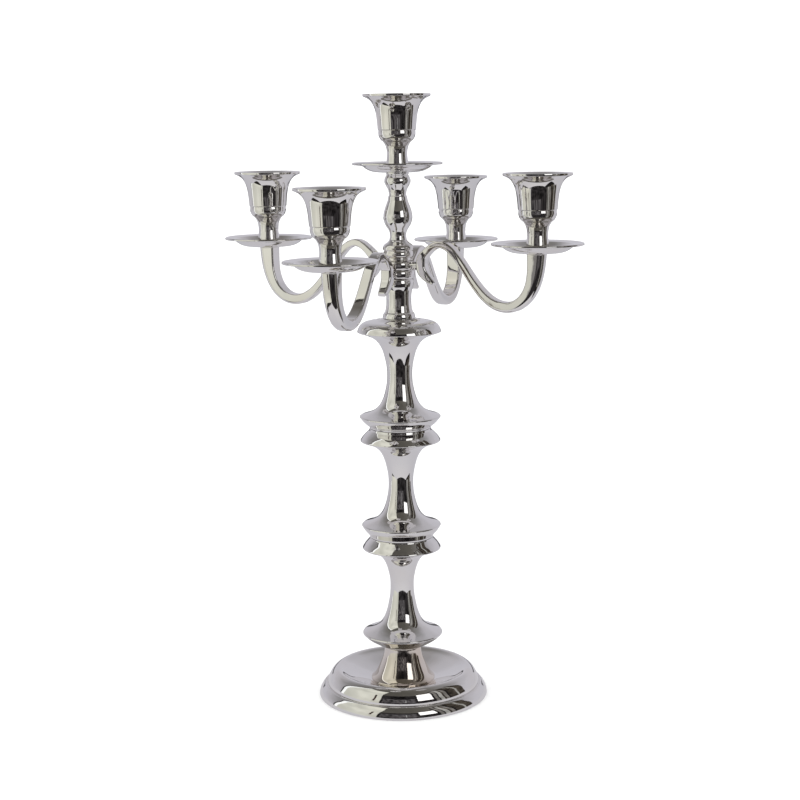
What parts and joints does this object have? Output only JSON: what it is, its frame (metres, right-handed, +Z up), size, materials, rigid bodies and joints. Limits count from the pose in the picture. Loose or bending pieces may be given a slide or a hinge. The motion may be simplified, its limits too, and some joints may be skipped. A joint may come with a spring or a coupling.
{
  "type": "candelabra",
  "caption": "Polished nickel tabletop candelabra with a turned stem, scrolled arms that turn about the stem, drip pans and flared candle cups.",
  "frame": {"origin": "centre of the underside, on the table", "axes": "+Z up along the stem, +X along the upper arm pair, +Y along the lower arm pair"},
  "size_m": [0.2696, 0.2696, 0.43],
  "materials": {
    "nickel": "mirror-polished nickel plate",
    "steel": "plain zinc-plated steel",
    "felt": "thin black felt"
  },
  "bodies": {
    "root": {"base_shell": "nickel", "felt_pad": "felt", "base_plate": "steel", "base_washer": "steel", "base_nut": "steel", "tie_rod": "steel", "base_neck": "nickel", "lower_spool": "nickel", "middle_spool": "nickel", "upper_spool": "nickel", "socket_column": "nickel"},
    "lower_arms": {"lower_arm_pair": "nickel", "hub_washer": "steel", "drip_pan_front": "nickel", "drip_pan_back": "nickel"},
    "upper_arms": {"upper_arm_pair": "nickel", "drip_pan_right": "nickel", "drip_pan_left": "nickel"},
    "finial": {"bell_cap": "nickel", "baluster": "nickel", "drip_pan_centre": "nickel"},
    "cup_centre": {"candle_cup_centre": "nickel", "cup_stud_centre": "steel"},
    "cup_right": {"candle_cup_right": "nickel", "cup_stud_right": "steel"},
    "cup_left": {"candle_cup_left": "nickel", "cup_stud_left": "steel"},
    "cup_front": {"candle_cup_front": "nickel", "cup_stud_front": "steel"},
    "cup_back": {"candle_cup_back": "nickel", "cup_stud_back": "steel"}
  },
  "joints": [
    {"name": "lower_arms_swivel", "type": "hinge", "parent": "root", "child": "lower_arms", "pos_m": [0, 0, 0.3059], "axis": [0, 0, 1], "continuous": true},
    {"name": "upper_arms_fold", "type": "hinge", "parent": "lower_arms", "child": "upper_arms", "pos_m": [0, 0, 0.3121], "axis": [0, 0, 1], "range_deg": [-40, 40]},
    {"name": "finial_turn", "type": "hinge", "parent": "root", "child": "finial", "pos_m": [0, 0, 0.34], "axis": [0, 0, 1], "range_deg": [0, 360]},
    {"name": "cup_centre_turn", "type": "hinge", "parent": "finial", "child": "cup_centre", "pos_m": [0, 0, 0.3777], "axis": [0, 0, 1], "range_deg": [0, 360]},
    {"name": "cup_right_turn", "type": "hinge", "parent": "upper_arms", "child": "cup_right", "pos_m": [0.1033, 0, 0.3242], "axis": [0, 0, 1], "range_deg": [0, 360]},
    {"name": "cup_left_turn", "type": "hinge", "parent": "upper_arms", "child": "cup_left", "pos_m": [-0.1033, 0, 0.3242], "axis": [0, 0, 1], "range_deg": [0, 360]},
    {"name": "cup_front_turn", "type": "hinge", "parent": "lower_arms", "child": "cup_front", "pos_m": [0, -0.1033, 0.318], "axis": [0, 0, 1], "range_deg": [0, 360]},
    {"name": "cup_back_turn", "type": "hinge", "parent": "lower_arms", "child": "cup_back", "pos_m": [0, 0.1033, 0.318], "axis": [0, 0, 1], "range_deg": [0, 360]}
  ]
}
